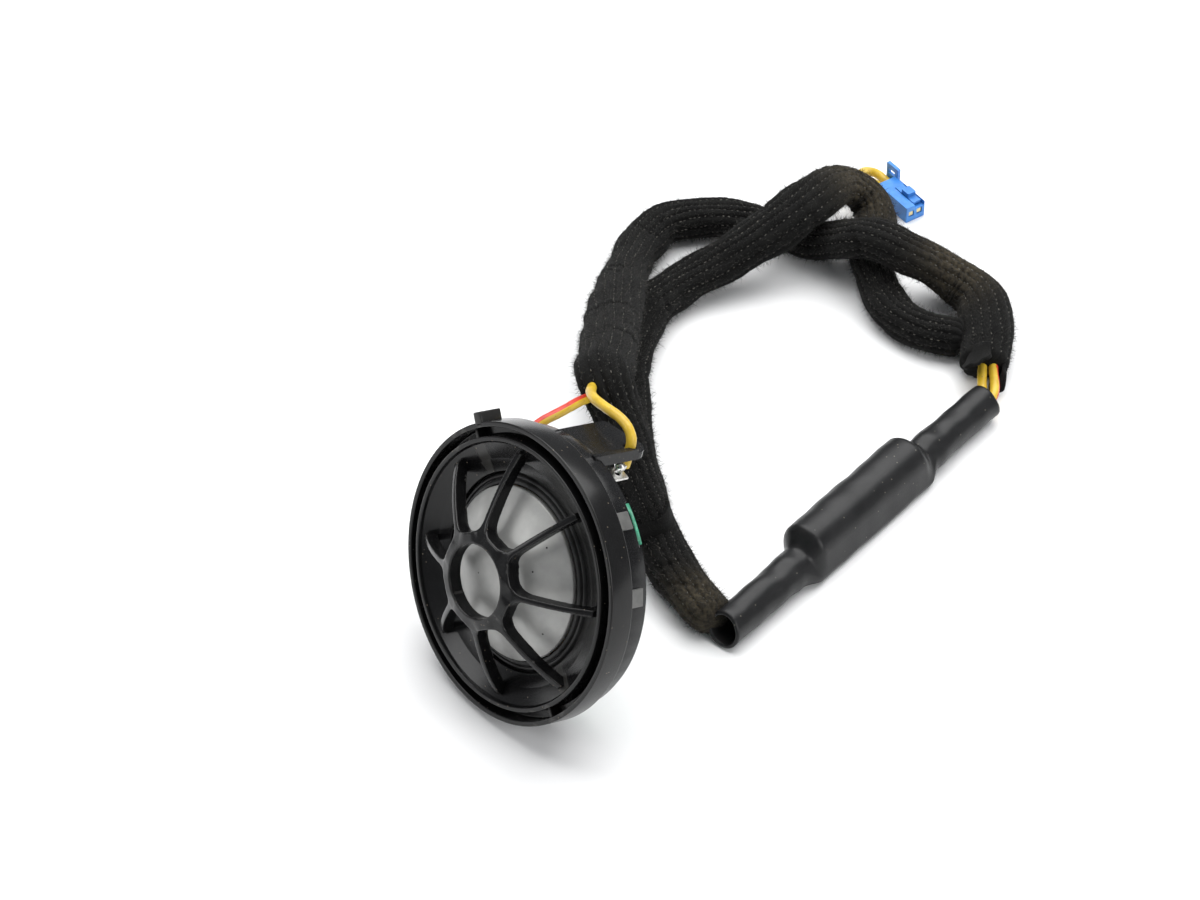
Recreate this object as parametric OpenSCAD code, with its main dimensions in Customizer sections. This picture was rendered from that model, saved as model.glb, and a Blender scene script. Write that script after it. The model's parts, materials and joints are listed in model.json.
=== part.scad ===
// Car tweeter with its in-line crossover lead.
// The tweeter stands on its rim and leans back, held by its stiff lead. +Z is up and the table is Z = 0.
// The front faces -Y and a little up. The lead lies on the table behind the tweeter.

/* [Tweeter] */
// Outer radius of the front rim
rim_r = 22; // [21:0.5:23]
// Depth of the front rim
rim_depth = 4; // [3.5:0.1:4.5]
// Lean of the tweeter's axis above the horizontal, in degrees
lean = 19.5; // [18:0.5:21]
// Depth from the rim's front to the motor cup's rear face
motor_depth = 12.6; // [12.2:0.2:13.2]
// Radius of the rear step of the housing
step_r = 20.8; // [20.5:0.1:20.9]
// Radius of the dome at its foot
dome_r = 12.7; // [12.6:0.05:12.75]
// Height of the dome
dome_h = 4.4; // [4:0.1:4.6]

/* [Grille] */
// Number of curved blades
blade_count = 8; // [6:1:10]
// Thickness of a blade
blade_t = 0.9; // [0.7:0.05:1.2]
// How far the central ring stands in front of the rim
ring_reach = 6.3; // [6.2:0.1:7]
// Radius of the hole in the central ring
ring_hole_r = 5.4; // [5:0.1:5.6]

/* [Lead] */
// Diameter of the lead with its fleece tape
tape_d = 6.4; // [6:0.1:6.6]
// Diameter of one insulated wire
wire_d = 1.5; // [1.3:0.1:1.5]
// Diameter of the crossover capacitor
cap_d = 7; // [6.6:0.1:7.2]
// Length of the crossover capacitor
cap_len = 24; // [22:1:25]

/* [Hidden] */
$fn = 96;

// Seat of the tweeter on the table
axis_z = rim_r * cos(lean) + rim_depth * sin(lean);
axis_y = -7.569;

// Front moulding
groove_out_r = rim_r - 0.8;
groove_in_r = 19.9;
groove_depth = 2.6;
lip_r = 19.2;
lip_reach = 0.3;
ring_r = 7.2;
funnel_r = 14.6;
funnel_z = -1.9;
funnel_t = 0.8;
ring_depth = 2;
blade_depth = 2.2;
blade_tip_r = 18.2;
blade_turn = 15;
bridge_count = 4;
key_turn = 39;
key_w = 1.8;
key_reach = 1.5;

// Housing and terminals
step_back = -7.2;
web_z = -5.8;
skirt_r = 20.4;
skirt_back = -8;
window_turn = -40;
window_edge_r = 20.6;
clip_turns = [-38.5, -68.5];
board_r = 19.8;
plus_turn = -11;
plus_len = 5.6;
minus_turn = 19;
minus_len = 5;
rivet_y = 18.5;
shelf_x0 = -5;
shelf_x1 = 3.6;
shelf_y = 19.1;
shelf_t = 1.2;
shelf_back = -17.2;
hole_x = 2.2;
hole_z = -14.6;
hole_r = 1.1;
lug_t = 0.35;
rivet_r = 0.45;

// Diaphragm and motor
dome_z = -1.2;
dome_t = 0.25;
flange_r = 16.6;
flange_z = -3.4;
frame_in_r = 14.9;
frame_out_r = 18.4;
skirt_h = 0.7;
former_r = 12.45;
former_t = 0.12;
former_end = -8.6;
winding_t = 0.22;
gap_top = -5.8;
gap_h = 2;
pole_r = 12.2;
gap_r = 13.3;
cup_r = 14.8;
cup_wall = 1.2;
cup_floor = 1.8;
magnet_r = 11.4;
pad_r = 9.5;
pad_t = 0.8;
tinsel_turns = [-12, 24];

// Lead: hand-laid routes on the table, each point the centre of the cord
tape_r = tape_d / 2;
tweeter_route = [[-9.4, 25.9, 7.4], [-9.5, 25.3, 10.6], [-9.8, 24.2, 14], [-10, 23.2, 19], [-10.2, 22.2, 24],
  [-10.8, 21.2, 28.8], [-12.8, 20.9, 32.6], [-16, 22.6, 33.4], [-20.5, 26.8, 30.2], [-27.6, 33, 25.4],
  [-36, 40, 20], [-44, 47.6, 15], [-51.5, 54.6, 10], [-58, 61, 6], [-63, 67.6, 3.6], [-65, 73.6, 3.2],
  [-63, 79.6, 3.2], [-58, 84.6, 3.2], [-52, 88.6, 3.2], [-46, 91, 3.6], [-40.5, 91.6, 6.9], [-37, 92, 9.5],
  [-33.5, 93.2, 10.2], [-29.5, 95, 9.6], [-27, 98.6, 6.5], [-24, 101.4, 4], [-19.8, 101.6, 3.2],
  [-15.4, 99.2, 3.2], [-11.4, 95.6, 3.2], [-6.6, 91, 3.2]];
connector_route = [[11.2, 22.2, 3.2], [4.8, 23.2, 3.2], [-4, 25, 3.2], [-13, 28.4, 3.2], [-22, 32.9, 3.2],
  [-29.5, 37.9, 3.2], [-37, 43.1, 3.2], [-44, 49.5, 3.2], [-49.4, 57.3, 3.2], [-51.6, 65.8, 3.4],
  [-50.4, 73.8, 5], [-48.4, 80.2, 8], [-47.6, 85.4, 10], [-48, 90.4, 10.6], [-49.4, 95, 10],
  [-50.6, 98.9, 8.4], [-50, 102, 6], [-47, 102.8, 4.2], [-43, 100.2, 3.2], [-39.8, 96.4, 3.2],
  [-35.8, 93.2, 3.2], [-30.6, 90.6, 3.2], [-24.6, 88.8, 3.2], [-18.8, 89.8, 3.2], [-13.8, 93.2, 3.2]];
plain_route = [[2.5, 11.6, 33.4], [2.2, 12.8, 35.8], [2, 13.4, 37.4], [0.8, 13.8, 38.6], [-1.4, 14, 39],
  [-4.5, 14, 38.7], [-8, 14.6, 37.7], [-11, 16.3, 36], [-13.6, 18.6, 34], [-17, 21.8, 32.2]];
striped_route = [[-7, 7.6, 35], [-8.5, 6.6, 34.4], [-10, 6, 33.9], [-11.5, 6.2, 34.2],
  [-11.4, 8, 34.8], [-11.2, 10.2, 35], [-11.5, 12.6, 34.7], [-12.2, 15, 34], [-12.9, 17.2, 33],
  [-13.8, 19.7, 31.7], [-16.6, 23, 30]];
sleeve_wire_routes = [[[-8.4, 94.6, 3.2], [-5.4, 91.7, 3.4], [-2.8, 89.6, 3.8], [-0.6, 87.4, 3.5], [0.4, 83.8, 3]],
  [[-9.6, 93.4, 3.2], [-6.6, 90.5, 3.4], [-4.2, 88.2, 3.6], [-2.2, 86.4, 3.3], [-1.3, 83.5, 3]]];

// Sleeve: its axis on the table
sleeve_from = [13, 22.1];
sleeve_to = [-1, 86.1];
sleeve_len = norm(sleeve_to - sleeve_from);
sleeve_turn = atan2(sleeve_to[1] - sleeve_from[1], sleeve_to[0] - sleeve_from[0]);
sleeve_wall = 0.5;
cap_z = cap_d / 2 + sleeve_wall;
cap_start = 21.5;
cap_side = 0.8;
bypass_r = wire_d / 2 - 0.1;
bypass_z = bypass_r + sleeve_wall + 0.1;
bypass_side = cap_side - sqrt(pow(cap_d / 2 + bypass_r, 2) - pow(cap_z - bypass_z, 2)) - 0.05;
narrow_r = 2.7;
narrow_z = 3;

// Connector
plug_at = [-51.7, 110.1, 0];
plug_turn = -4;
plug_len = 7.9;
plug_w = 3.7;
plug_h = 3;
pin_pitch = 1.6;
contact_z = 1.5;
latch_x = 2.4;
latch_y = 0.8;
latch_w = 1.6;
lock_x = 3.4;
plug_wire_routes = [[[-49.2, 102.4, 5], [-51, 105.2, 4.6], [-52.5, 107.2, 3.5], [-53, 108.5, 2.3],
  [-52.4, 109.2, 1.6], [-50.4, 109.1, 1.5]],
  [[-50, 101, 5.6], [-52.4, 104.2, 5], [-54.4, 106.9, 4.2], [-55.3, 109, 3.1],
  [-54.9, 110.7, 2.1], [-53.4, 111.1, 1.6], [-50.3, 110.8, 1.5]]];

// Puts a part drawn round the tweeter's axis, with its front towards +Z, at its seat
module seated() translate([0, axis_y, axis_z]) rotate([90 - lean, 0, 0]) children();

// Turned ring between two radii and two heights
module ring(r_in, r_out, z0, z1) translate([0, 0, z0]) difference() {
  cylinder(r = r_out, h = z1 - z0);
  translate([0, 0, -1]) cylinder(r = r_in, h = z1 - z0 + 2);
}

// Smooth tube through the route's points: rings square to the cord, joined by quads
function unit(v) = v / norm(v);
function along(p, i) = unit(p[min(i + 1, len(p) - 1)] - p[max(i - 1, 0)]);
function side_of(d) = unit(cross(d, abs(d[2]) > 0.9 ? [1, 0, 0] : [0, 0, 1]));
function tube_ring(c, d, r, n) = let (s = side_of(d), u = cross(s, d))
  [for (k = [0:n - 1]) c + r * (cos(360 * k / n) * s + sin(360 * k / n) * u)];
module tube(p, r, n = 8) {
  last = len(p) - 1;
  rings = [for (i = [0:last]) each tube_ring(p[i], along(p, i), r, n)];
  skin = [for (i = [0:last - 1]) for (k = [0:n - 1]) let (a = i * n + k, b = i * n + (k + 1) % n)
    each [[a, b, b + n], [a, b + n, a + n]]];
  caps = [[for (k = [n - 1:-1:0]) k], [for (k = [0:n - 1]) last * n + k]];
  polyhedron(rings, concat(skin, caps));
}

module front_grille() color([0.06, 0.06, 0.065]) seated() {
  rotate_extrude() polygon([[funnel_r, funnel_z], [lip_r - 0.2, -0.2], [lip_r, lip_reach],
    [groove_in_r, lip_reach], [groove_in_r, -groove_depth], [groove_out_r, -groove_depth],
    [groove_out_r, 0], [rim_r - 0.3, 0], [rim_r, -0.3], [rim_r, -rim_depth], [groove_in_r - 1, -rim_depth],
    [groove_in_r - 1.6, -rim_depth + 1.8], [funnel_r, funnel_z - funnel_t]]);
  for (i = [0:bridge_count - 1]) rotate(45 + 90 * i) translate([groove_in_r - 0.2, -0.35, -groove_depth - 0.3])
    cube([groove_out_r - groove_in_r + 0.4, 0.7, 1.5]);
  rotate(key_turn) translate([-key_w / 2, rim_r - 0.6, -rim_depth]) cube([key_w, key_reach + 0.6, rim_depth]);
  ring(ring_hole_r, ring_r, ring_reach - ring_depth, ring_reach);
  for (i = [0:blade_count - 1]) rotate(blade_turn + 90 + 360 * i / blade_count) blade();
}

// One blade: an arch from the funnel to the central ring, on edge
function arch(r, z) = let (u = (blade_tip_r - r) / (blade_tip_r - ring_hole_r - 0.8))
  [r, z + (ring_reach - 0.2) * (0.72 * u + 0.28 * (1 - pow(1 - u, 3)))];
module blade() translate([0, blade_t / 2, 0]) rotate([90, 0, 0]) linear_extrude(blade_t) {
  steps = [for (k = [0:8]) ring_hole_r + 0.8 + (blade_tip_r - ring_hole_r - 0.8) * k / 8];
  polygon(concat([for (r = steps) arch(r, 0)], [for (k = [8:-1:0]) arch(steps[k], -blade_depth)]));
}

// Wedge of a disc, centred on +Y, for cutting windows
module wedge(r, span) polygon([[0, 0], [-r * sin(span / 2), r * cos(span / 2)], [0, r * 1.2],
  [r * sin(span / 2), r * cos(span / 2)]]);

module rear_housing() color([0.07, 0.07, 0.075]) seated() difference() {
  union() {
    ring(frame_out_r + 0.2, step_r, step_back, -rim_depth);
    ring(cup_r + 0.2, frame_out_r + 0.4, step_back, web_z);
    difference() {
      ring(board_r + 0.1, skirt_r, skirt_back, step_back + 0.1);
      rotate(window_turn) translate([0, 0, skirt_back - 1]) linear_extrude(1.8) wedge(30, 19);
    }
    shelf();
  }
  translate([hole_x, 0, hole_z]) rotate([-90, 0, 0]) cylinder(r = hole_r, h = 40);
  for (a = tinsel_turns) rotate(a) translate([-0.6, 16.2, step_back - 1]) cube([1.2, 1.9, 3]);
}

// Shelf over the terminals that holds the wire, with a rounded far corner and a raised edge
module shelf() {
  translate([0, shelf_y + shelf_t, 0]) rotate([90, 0, 0]) linear_extrude(shelf_t) hull() {
    translate([shelf_x0, shelf_back + 1.8]) square([0.1, -shelf_back - 8.4]);
    translate([shelf_x1 - 0.1, -7.5]) square([0.1, 0.9]);
    translate([shelf_x0 + 1, shelf_back + 2.2]) circle(1);
    translate([shelf_x1 - 2, shelf_back + 2]) circle(2);
  }
  translate([shelf_x1 - 0.8, shelf_y + 0.2, shelf_back + 2.2]) cube([0.8, shelf_t + 0.4, -shelf_back - 8.8]);
}

module housing_clips() color([0.1, 0.1, 0.105]) seated() for (a = clip_turns) rotate(a)
  translate([-1.3, step_r, -6.6]) cube([2.6, 0.45, 2.1]);

module terminal_board() color([0.1, 0.45, 0.3]) seated() difference() {
  union() {
    ring(cup_r + 0.3, board_r, skirt_back, step_back);
    rotate(window_turn) translate([0, 0, skirt_back]) linear_extrude(step_back - skirt_back) intersection() {
      difference() {
        circle(window_edge_r);
        circle(board_r - 1);
      }
      wedge(30, 17);
    }
  }
  for (a = [plus_turn, minus_turn]) rotate(a) translate([0, rivet_y, skirt_back - 1])
    cylinder(r = rivet_r, h = 3);
  translate([shelf_x0 - 0.1, shelf_y - 0.1, skirt_back - 1]) cube([shelf_x1 - shelf_x0 + 0.2, 3, 3]);
}

// Tinned lug: a foot riveted to the board and a tab that stands back from it
module lug(tab_len) difference() {
  union() {
    translate([-1.4, rivet_y - 1.4, skirt_back - lug_t]) cube([2.8, 2, lug_t]);
    translate([-1.2, rivet_y - 1.4, skirt_back - tab_len]) cube([2.4, lug_t, tab_len - lug_t + 0.1]);
  }
  translate([0, rivet_y, skirt_back - 1]) cylinder(r = rivet_r, h = 3);
  translate([0, rivet_y - 2, skirt_back - tab_len + 1.2]) rotate([-90, 0, 0]) cylinder(r = 0.5, h = 1.6);
}
module plus_lug() color([0.85, 0.85, 0.82]) seated() rotate(plus_turn) lug(plus_len);
module minus_lug() color([0.85, 0.85, 0.82]) seated() rotate(minus_turn) lug(minus_len);

module lug_rivets() color([0.75, 0.72, 0.6]) seated() for (a = [plus_turn, minus_turn]) rotate(a)
  translate([0, rivet_y, 0]) {
    translate([0, 0, skirt_back - lug_t]) cylinder(r = rivet_r, h = lug_t - skirt_back + step_back);
    translate([0, 0, skirt_back - lug_t - 0.3]) cylinder(r = 0.8, h = 0.3);
  }

module solder_joints() color([0.8, 0.8, 0.8]) seated() {
  translate([2.9, 17.9, -13]) scale(0.8) sphere(r = 1, $fn = 32);
  rotate(minus_turn) translate([-0.5, 18, -9.8]) scale(0.8) sphere(r = 1, $fn = 32);
}

module foam_gasket() color([0.15, 0.15, 0.15]) seated()
  ring(15.2, 18.2, flange_z + 0.25, funnel_z - funnel_t + 0.05);

module diaphragm_frame() color([0.12, 0.12, 0.13]) seated() difference() {
  ring(frame_in_r, frame_out_r, web_z, flange_z);
  for (a = tinsel_turns) rotate(a) translate([-0.6, frame_in_r - 1, web_z - 1]) cube([1.2, 6, 2.2]);
}

// Rolled surround: a thin skin with two ridges between the clamped flange and the dome's foot
module surround() color([0.04, 0.04, 0.04]) seated() rotate_extrude() {
  top = [[flange_r, flange_z + 0.25], [14.5, flange_z + 0.25], [14.3, -2.5], [14.05, -2.05], [13.8, -2],
    [13.6, -2.3], [13.35, -1.75], [13.05, -1.65], [dome_r + 0.04, -1.9]];
  polygon(concat(top, [for (i = [len(top) - 1:-1:0]) top[i] - [0, 0.25]]));
}

// Spherical cap with a short skirt at its foot
function cap_point(a, r, z0) = [r * sin(a), z0 + r * cos(a)];
module dome_diaphragm() color([0.6, 0.6, 0.62]) seated() rotate_extrude() {
  ball_r = (dome_r * dome_r + dome_h * dome_h) / (2 * dome_h);
  z0 = dome_z + dome_h - ball_r;
  edge = asin(dome_r / ball_r);
  polygon(concat([for (k = [0:16]) cap_point(edge * k / 16, ball_r, z0)],
    [[dome_r, dome_z - skirt_h], [former_r, dome_z - skirt_h]],
    [for (k = [16:-1:0]) cap_point(edge * 0.98 * k / 16, ball_r - dome_t, z0)]));
}

module voice_coil_former() color([0.75, 0.6, 0.4]) seated()
  ring(former_r, former_r + former_t, former_end, dome_z - skirt_h);

module voice_coil_winding() color([0.72, 0.35, 0.15]) seated()
  ring(former_r + former_t, former_r + former_t + winding_t, gap_top - gap_h + 0.1, gap_top + 0.3);

module coil_tinsel_leads() color([0.8, 0.5, 0.3]) seated() for (a = tinsel_turns) rotate(a)
  tube([[0, 13.1, -3.4], [0, 13.7, -4.6], [0, 14.6, -5.1], [0, 16, -5.2], [0, 17.1, -5.5], [0, 17.6, -6.2],
    [0, 17.6, step_back]], 0.2, 8);

module damping_pad() color([0.35, 0.35, 0.36]) seated() translate([0, 0, gap_top]) cylinder(r = pad_r, h = pad_t);
module pole_cap() color([0.5, 0.5, 0.52]) seated() translate([0, 0, gap_top - gap_h]) cylinder(r = pole_r, h = gap_h);
module magnet() color([0.3, 0.3, 0.32]) seated() translate([0, 0, -motor_depth + cup_floor])
  cylinder(r = magnet_r, h = motor_depth - cup_floor + gap_top - gap_h);
module top_plate() color([0.55, 0.55, 0.57]) seated() ring(gap_r, cup_r, gap_top - gap_h, gap_top);
module motor_cup() color([0.6, 0.6, 0.62]) seated() difference() {
  translate([0, 0, -motor_depth]) cylinder(r = cup_r, h = motor_depth + gap_top - gap_h);
  translate([0, 0, -motor_depth + cup_floor]) cylinder(r = cup_r - cup_wall, h = motor_depth);
}

module plain_wire() color([0.85, 0.7, 0.15]) tube(plain_route, wire_d / 2);
module striped_wire() color([0.85, 0.65, 0.12]) tube(striped_route, wire_d / 2);
module tweeter_lead() color([0.05, 0.05, 0.05]) tube(tweeter_route, tape_r, 12);
module connector_lead() color([0.05, 0.05, 0.05]) tube(connector_route, tape_r, 12);
module sleeve_wires() color([0.85, 0.7, 0.15]) for (route = sleeve_wire_routes) tube(route, wire_d / 2);

// Places a part drawn along the sleeve: +X runs from its open mouth to its far end
module on_sleeve() translate([sleeve_from[0], sleeve_from[1], 0]) rotate(sleeve_turn) children();
module disc_x(r, h) rotate([0, 90, 0]) cylinder(r = r, h = h, $fn = 32);

// Shrunk tube: narrow ends, stepped shoulders and a wide middle over the capacitor and the second wire
module shrunk(g) {
  lo = cap_start - 1.2;
  hi = cap_start + cap_len + 1.2;
  module end(x, h) translate([x, 0, narrow_z]) disc_x(narrow_r - g, h);
  module middle(x, h) {
    translate([x, cap_side, cap_z]) disc_x(cap_d / 2 + sleeve_wall - g, h);
    translate([x, bypass_side, bypass_z]) disc_x(bypass_z - g, h);
  }
  e = g > 0 ? 1 : 0;
  end(-e, lo - 3 + e);
  hull() { end(lo - 3.2, 0.2); middle(lo, 0.2); }
  hull() { middle(lo, 0.2); middle(hi - 0.2, 0.2); }
  hull() { middle(hi - 0.2, 0.2); end(hi + 2.6, 0.2); }
  end(hi + 2.6, sleeve_len - hi - 2.6 + e);
}
module heat_shrink_sleeve() color([0.16, 0.16, 0.17]) on_sleeve() difference() {
  shrunk(0);
  shrunk(sleeve_wall);
}
module crossover_capacitor() color([0.15, 0.2, 0.45]) on_sleeve()
  translate([cap_start, cap_side, cap_z]) disc_x(cap_d / 2 - 0.15, cap_len);
module capacitor_leads() color([0.8, 0.8, 0.8]) on_sleeve() {
  translate([cap_start - 5, cap_side, narrow_z + 0.6]) disc_x(0.3, 5);
  translate([cap_start + cap_len, cap_side, narrow_z + 0.6]) disc_x(0.3, 5);
}
module crimp_splices() color([0.8, 0.7, 0.4]) on_sleeve() for (x = [cap_start - 8, cap_start + cap_len + 5])
  translate([x, cap_side, narrow_z + 0.6]) disc_x(0.8, 3);
module bypass_wire() color([0.85, 0.7, 0.15]) on_sleeve()
  tube([[3, -0.9, 2.4], [9, -1.2, 2.2], [cap_start - 6, -1.2, 2.1], [cap_start - 3.5, -1.6, 1.9],
    [cap_start - 1, bypass_side + 0.1, bypass_z + 0.1], [cap_start + 1, bypass_side, bypass_z],
    [cap_start + cap_len - 1, bypass_side, bypass_z], [cap_start + cap_len + 1, bypass_side + 0.1, bypass_z + 0.1],
    [cap_start + cap_len + 3.5, -1.6, 1.9], [60, -0.9, 2.5]], bypass_r);

// Places a part drawn along the plug: +X runs from the wires to the mating end
module at_plug() translate(plug_at) rotate(plug_turn) children();
module connector_housing() color([0.25, 0.5, 0.82]) at_plug() difference() {
  union() {
    translate([0, -plug_w / 2, 0]) cube([plug_len, plug_w, plug_h]);
    translate([-2.2, 1.7, 0.6]) cube([2.9, 0.6, plug_h + 1]);
  }
  translate([-1.7, 0, plug_h - 0.3]) cube([1.6, plug_w, 0.9]);
  translate([-0.1, -pin_pitch / 2 - 0.8, contact_z - 0.8]) cube([2.1, pin_pitch + 1.6, 1.6]);
  for (s = [-1, 1]) translate([0, s * pin_pitch / 2 - 0.5, contact_z - 0.5]) cube([plug_len + 1, 1, 1]);
  translate([latch_x, latch_y - latch_w / 2 - 0.15, plug_h - 0.75]) cube([plug_len, latch_w + 0.3, 1]);
  translate([lock_x - 0.1, -plug_w, 0.3]) cube([1.2, plug_w + 0.9, 0.7]);
}
module connector_latch() color([0.25, 0.5, 0.82]) at_plug() {
  translate([latch_x, latch_y - latch_w / 2, plug_h - 0.4]) cube([4.8, latch_w, 0.4]);
  translate([latch_x + 1.6, latch_y - latch_w / 2, plug_h - 0.1]) cube([1.8, latch_w, 0.9]);
}
module connector_lock() color([0.2, 0.42, 0.72]) at_plug()
  translate([lock_x, -plug_w / 2 - 0.3, 0.4]) cube([1, plug_w / 2 + 1.1, 0.5]);
module connector_contacts() color([0.85, 0.75, 0.45]) at_plug() for (s = [-1, 1])
  translate([2.3, s * pin_pitch / 2 - 0.4, contact_z - 0.4]) cube([5.4, 0.8, 0.8]);
module plug_wires() color([0.85, 0.7, 0.15]) for (route = plug_wire_routes) tube(route, wire_d / 2);

front_grille();
rear_housing();
housing_clips();
terminal_board();
plus_lug();
minus_lug();
lug_rivets();
solder_joints();
foam_gasket();
diaphragm_frame();
surround();
dome_diaphragm();
voice_coil_former();
voice_coil_winding();
coil_tinsel_leads();
damping_pad();
pole_cap();
magnet();
top_plate();
motor_cup();
plain_wire();
striped_wire();
tweeter_lead();
connector_lead();
sleeve_wires();
heat_shrink_sleeve();
crossover_capacitor();
capacitor_leads();
crimp_splices();
bypass_wire();
plug_wires();
connector_housing();
connector_latch();
connector_lock();
connector_contacts();
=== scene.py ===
"""Looks of the car tweeter and its crossover lead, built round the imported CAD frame. Metres."""
import json
import math
import bmesh
import bpy
import numpy as np
from mathutils import Matrix, Vector


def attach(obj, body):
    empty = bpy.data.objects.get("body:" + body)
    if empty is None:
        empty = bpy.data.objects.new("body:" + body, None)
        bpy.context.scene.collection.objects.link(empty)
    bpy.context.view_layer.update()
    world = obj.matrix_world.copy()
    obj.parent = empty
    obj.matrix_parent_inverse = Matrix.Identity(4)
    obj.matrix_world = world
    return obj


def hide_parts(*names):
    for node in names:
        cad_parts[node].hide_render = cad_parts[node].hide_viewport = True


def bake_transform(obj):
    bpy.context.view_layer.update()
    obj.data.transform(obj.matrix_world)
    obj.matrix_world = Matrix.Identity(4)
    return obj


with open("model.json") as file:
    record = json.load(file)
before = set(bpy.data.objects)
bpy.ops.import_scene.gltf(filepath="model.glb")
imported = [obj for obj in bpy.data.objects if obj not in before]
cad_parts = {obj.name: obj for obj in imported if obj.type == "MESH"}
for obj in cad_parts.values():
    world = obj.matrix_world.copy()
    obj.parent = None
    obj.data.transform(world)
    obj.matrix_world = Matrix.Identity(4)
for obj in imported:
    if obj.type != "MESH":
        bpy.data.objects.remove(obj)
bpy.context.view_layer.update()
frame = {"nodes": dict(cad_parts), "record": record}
MM = 0.001

# Camera: a long lens, looking down on the front from its right
AZIMUTH, ELEVATION = 51.56, 42.0
TARGET = Vector((0.02474, -0.01038, 0.06491))
DISTANCE = 0.6
LENS = 136.04

# The lead's routes, in millimetres here and in metres once laid
TAPE_R = 3.2
WIRE_R = 0.75
TWEETER_ROUTE = [
    (-9.4, 25.9, 7.4), (-9.5, 25.3, 10.6), (-9.8, 24.2, 14), (-10, 23.2, 19), (-10.2, 22.2, 24),
    (-10.8, 21.2, 28.8),
    (-12.8, 20.9, 32.6), (-16, 22.6, 33.4), (-20.5, 26.8, 30.2), (-27.6, 33, 25.4), (-36, 40, 20),
    (-44, 47.6, 15), (-51.5, 54.6, 10), (-58, 61, 6), (-63, 67.6, 3.6), (-65, 73.6, 3.2), (-63, 79.6, 3.2),
    (-58, 84.6, 3.2), (-52, 88.6, 3.2), (-46, 91, 3.6), (-40.5, 91.6, 6.9), (-37, 92, 9.5),
    (-33.5, 93.2, 10.2), (-29.5, 95, 9.6), (-27, 98.6, 6.5), (-24, 101.4, 4), (-19.8, 101.6, 3.2),
    (-15.4, 99.2, 3.2), (-11.4, 95.6, 3.2), (-6.6, 91, 3.2)]
CONNECTOR_ROUTE = [
    (11.2, 22.2, 3.2), (4.8, 23.2, 3.2), (-4, 25, 3.2), (-13, 28.4, 3.2), (-22, 32.9, 3.2),
    (-29.5, 37.9, 3.2), (-37, 43.1, 3.2), (-44, 49.5, 3.2), (-49.4, 57.3, 3.2), (-51.6, 65.8, 3.4),
    (-50.4, 73.8, 5), (-48.4, 80.2, 8), (-47.6, 85.4, 10), (-48, 90.4, 10.6), (-49.4, 95, 10),
    (-50.6, 98.9, 8.4), (-50, 102, 6), (-47, 102.8, 4.2), (-43, 100.2, 3.2), (-39.8, 96.4, 3.2),
    (-35.8, 93.2, 3.2), (-30.6, 90.6, 3.2), (-24.6, 88.8, 3.2), (-18.8, 89.8, 3.2), (-13.8, 93.2, 3.2)]
PLAIN_ROUTE = [
    (2.5, 11.6, 33.4), (2.2, 12.8, 35.8), (2, 13.4, 37.4), (0.8, 13.8, 38.6), (-1.4, 14, 39),
    (-4.5, 14, 38.7), (-8, 14.6, 37.7), (-11, 16.3, 36), (-13.6, 18.6, 34), (-17, 21.8, 32.2)]
STRIPED_ROUTE = [
    (-7, 7.6, 35), (-8.5, 6.6, 34.4), (-10, 6, 33.9), (-11.5, 6.2, 34.2), (-11.4, 8, 34.8),
    (-11.2, 10.2, 35), (-11.5, 12.6, 34.7), (-12.2, 15, 34), (-12.9, 17.2, 33),
    (-13.8, 19.7, 31.7), (-16.6, 23, 30)]
SLEEVE_WIRE_ROUTES = [
    [(-8.4, 94.6, 3.2), (-5.4, 91.7, 3.4), (-2.8, 89.6, 3.8), (-0.6, 87.4, 3.5), (0.4, 83.8, 3)],
    [(-9.6, 93.4, 3.2), (-6.6, 90.5, 3.4), (-4.2, 88.2, 3.6), (-2.2, 86.4, 3.3), (-1.3, 83.5, 3)]]
PLUG_WIRE_ROUTES = [
    [(-49.2, 102.4, 5), (-51, 105.2, 4.6), (-52.5, 107.2, 3.5), (-53, 108.5, 2.3),
     (-52.4, 109.2, 1.6), (-50.4, 109.1, 1.5)],
    [(-50, 101, 5.6), (-52.4, 104.2, 5), (-54.4, 106.9, 4.2), (-55.3, 109, 3.1),
     (-54.9, 110.7, 2.1), (-53.4, 111.1, 1.6), (-50.3, 110.8, 1.5)]]

# Half width and half height of each lead's flattened wrap, at lengths along it
TWEETER_FORM = [(0, 3.3, 2.7), (18, 3.7, 2.9), (34, 4.2, 2.7), (72, 4.1, 2.5), (88, 3.4, 2.6),
                (134, 3.3, 2.7), (150, 3.5, 2.9), (170, 4.1, 3.0), (190, 3.7, 2.9)]
CONNECTOR_FORM = [(0, 3.2, 2.8), (12, 3.5, 2.8), (30, 4.1, 2.8), (66, 4.0, 2.6), (84, 3.6, 2.6),
                  (100, 4.1, 3.1), (110, 3.9, 3.1), (122, 3.3, 2.7), (134, 3.1, 2.6), (165, 3.1, 2.7)]

# Sleeve: its axis on the table, and where the capacitor sits along it
SLEEVE_FROM, SLEEVE_TO = (13, 22.1), (-1, 86.1)
CAP_START, CAP_LEN, CAP_SIDE = 21.5, 24, 0.8
BYPASS_SIDE, BYPASS_Z = -2.36, 1.25


# Seat of the tweeter: the front axis is the coil's, and the rim is a motor's depth before the rear face
MOTOR_DEPTH = 12.6 * MM


def seat_of(record):
    joint = next(j for j in record["behaviour"]["joints"] if j["name"] == "coil_travel")
    mount = next(m for m in record["mounts"] if m["name"] == "motor_rear_face")
    front = Vector(joint["axis"]).normalized()
    centre = Vector(mount["pos_m"]) + front * MOTOR_DEPTH
    side = Vector((1, 0, 0))
    seat = Matrix((side, front.cross(side), front)).transposed().to_4x4()
    seat.translation = centre
    return seat


SEAT = seat_of(frame["record"])


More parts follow.
